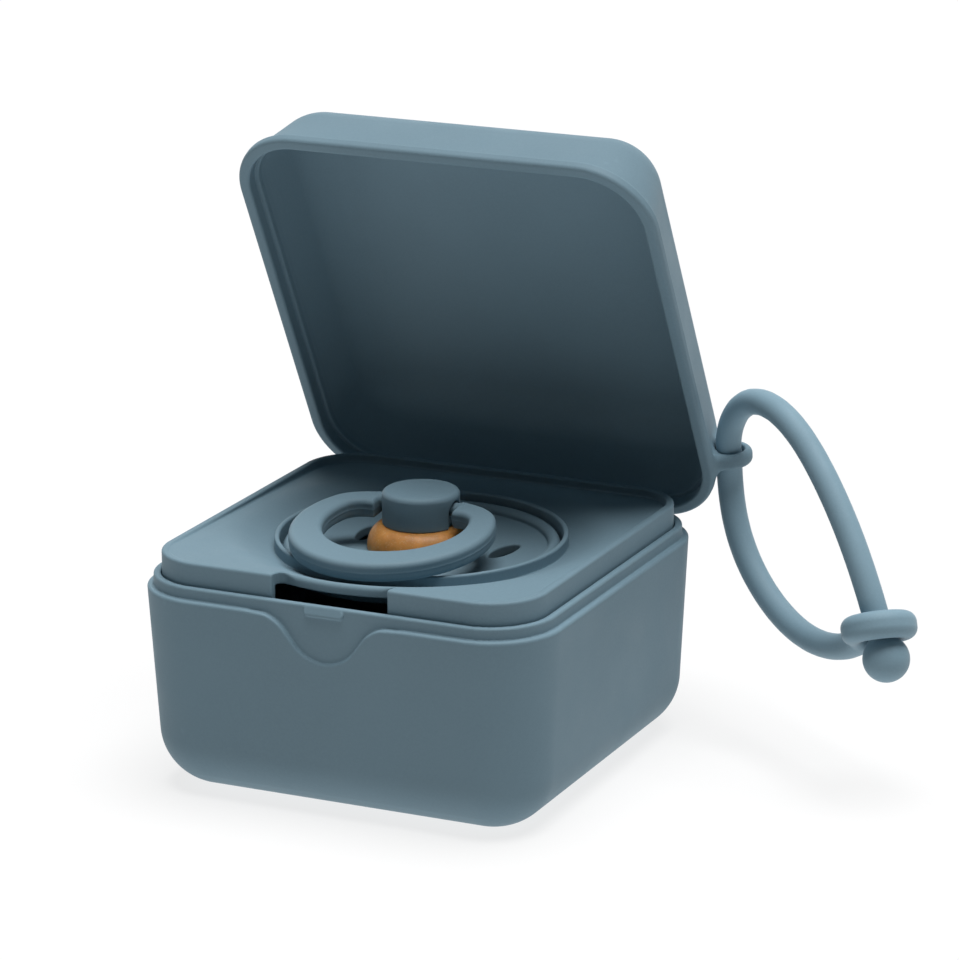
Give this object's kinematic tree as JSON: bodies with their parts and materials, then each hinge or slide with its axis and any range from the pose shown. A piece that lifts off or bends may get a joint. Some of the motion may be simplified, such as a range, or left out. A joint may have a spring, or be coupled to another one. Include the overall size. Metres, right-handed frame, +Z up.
{
  "type": "pacifier sterilizer case",
  "caption": "Soft-square pocket box with a hinged lid and a lift-out insert that holds a pacifier over a water basin, with a silicone carry strap on its lid.",
  "frame": {"origin": "middle of the flat underside of the base", "axes": "+Z up, X along the lid's hinge, +Y towards the hinge, -Y is the front with the thumb recess"},
  "size_m": [0.1149, 0.0831, 0.0994],
  "materials": {
    "case_plastic": "fine matt moulded polypropylene",
    "lid_plastic": "fine matt moulded polypropylene",
    "pacifier_plastic": "satin moulded polypropylene",
    "latex": "translucent amber natural rubber",
    "silicone": "matt silicone",
    "steel": "drawn steel"
  },
  "bodies": {
    "case": {"base_case": "case_plastic", "insert_tray": "case_plastic", "hinge_pin": "steel"},
    "lid": {"lid": "lid_plastic"},
    "pacifier": {"pacifier_shield": "pacifier_plastic", "pacifier_nipple": "latex", "pacifier_plug": "pacifier_plastic", "pacifier_knob": "pacifier_plastic"},
    "handle_ring": {"pacifier_ring": "pacifier_plastic"},
    "strap": {"strap_upper": "silicone", "strap_lower": "silicone", "strap_eyelet": "silicone", "strap_ball": "silicone"}
  },
  "joints": [
    {"name": "lid_hinge", "type": "hinge", "parent": "case", "child": "lid", "pos_m": [0, 0.03645, 0.03175], "axis": [-1, 0, 0], "range_deg": [-63, 42]},
    {"name": "pacifier_turn", "type": "hinge", "parent": "case", "child": "pacifier", "pos_m": [0, 0, 0.034], "axis": [0, 0, 1], "continuous": true},
    {"name": "ring_pivot", "type": "hinge", "parent": "pacifier", "child": "handle_ring", "pos_m": [0, 0, 0.0415], "axis": [-1, 0, 0], "range_deg": [0, 194]},
    {"name": "strap_swivel", "type": "hinge", "parent": "lid", "child": "strap", "pos_m": [0.03745, 0.03755, 0.04292], "axis": [0, -0.1392, 0.9903], "range_deg": [-20, 20]}
  ]
}
